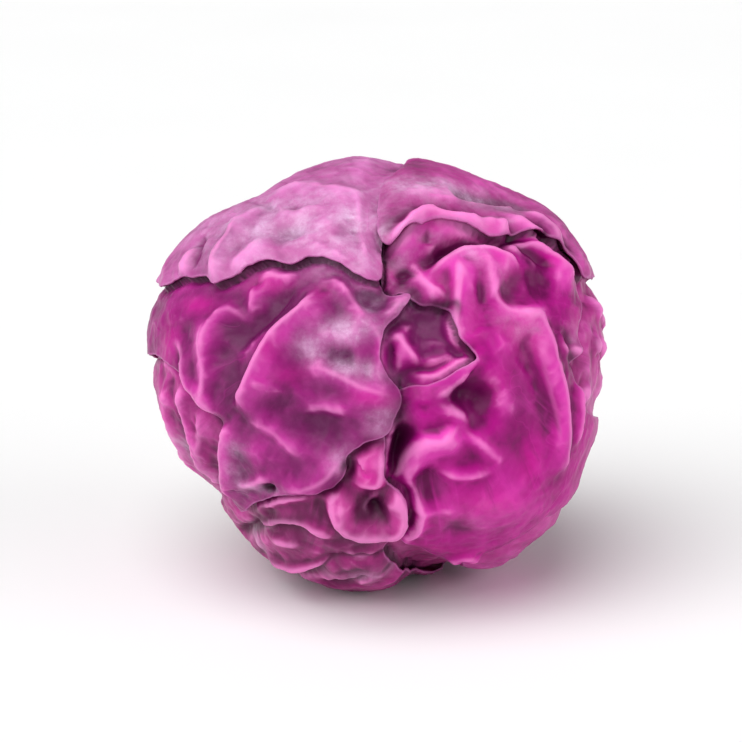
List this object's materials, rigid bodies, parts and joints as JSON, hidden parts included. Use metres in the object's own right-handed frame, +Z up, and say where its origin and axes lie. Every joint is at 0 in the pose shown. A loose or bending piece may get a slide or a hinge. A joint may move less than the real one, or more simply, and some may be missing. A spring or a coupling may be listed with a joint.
{
  "type": "cabbage head",
  "caption": "Firm round red cabbage head of overlapping crumpled wrapper leaves round a packed heart, with a short cut stalk, lying tipped back on a small flat spot.",
  "frame": {"origin": "centre of the bounding box's base, on the surface the head rests on", "axes": "+Z up; -Y towards the side where the leaf margins meet; +X to the right as that side is viewed"},
  "size_m": [0.1564, 0.152, 0.1449],
  "materials": {
    "shoulder_leaf": "semi-gloss waxy purple leaf, crumpled, pale veins",
    "crown_leaf": "semi-gloss waxy leaf, lilac-pink with a grey bloom, thin pale margin",
    "front_left_leaf": "semi-gloss waxy magenta-purple leaf with grey-lilac bloom patches",
    "belly_leaf": "semi-gloss waxy red-purple leaf, thickly folded",
    "right_leaf": "semi-gloss waxy bright magenta leaf, blistered, pale ridges",
    "right_side_leaf": "semi-gloss waxy magenta leaf, ruffled",
    "left_side_leaf": "semi-gloss waxy magenta-purple leaf",
    "keel_leaf": "semi-gloss waxy dark purple leaf",
    "heart": "semi-gloss waxy dark purple packed leaves",
    "cut_stalk": "matt pale green-cream fibrous stalk with a dried cut end"
  },
  "bodies": {
    "root": {"shoulder_leaf": "shoulder_leaf", "crown_leaf": "crown_leaf", "front_left_leaf": "front_left_leaf", "belly_leaf": "belly_leaf", "right_leaf": "right_leaf", "right_side_leaf": "right_side_leaf", "left_side_leaf": "left_side_leaf", "keel_leaf": "keel_leaf", "heart": "heart", "cut_stalk": "cut_stalk"}
  },
  "joints": []
}
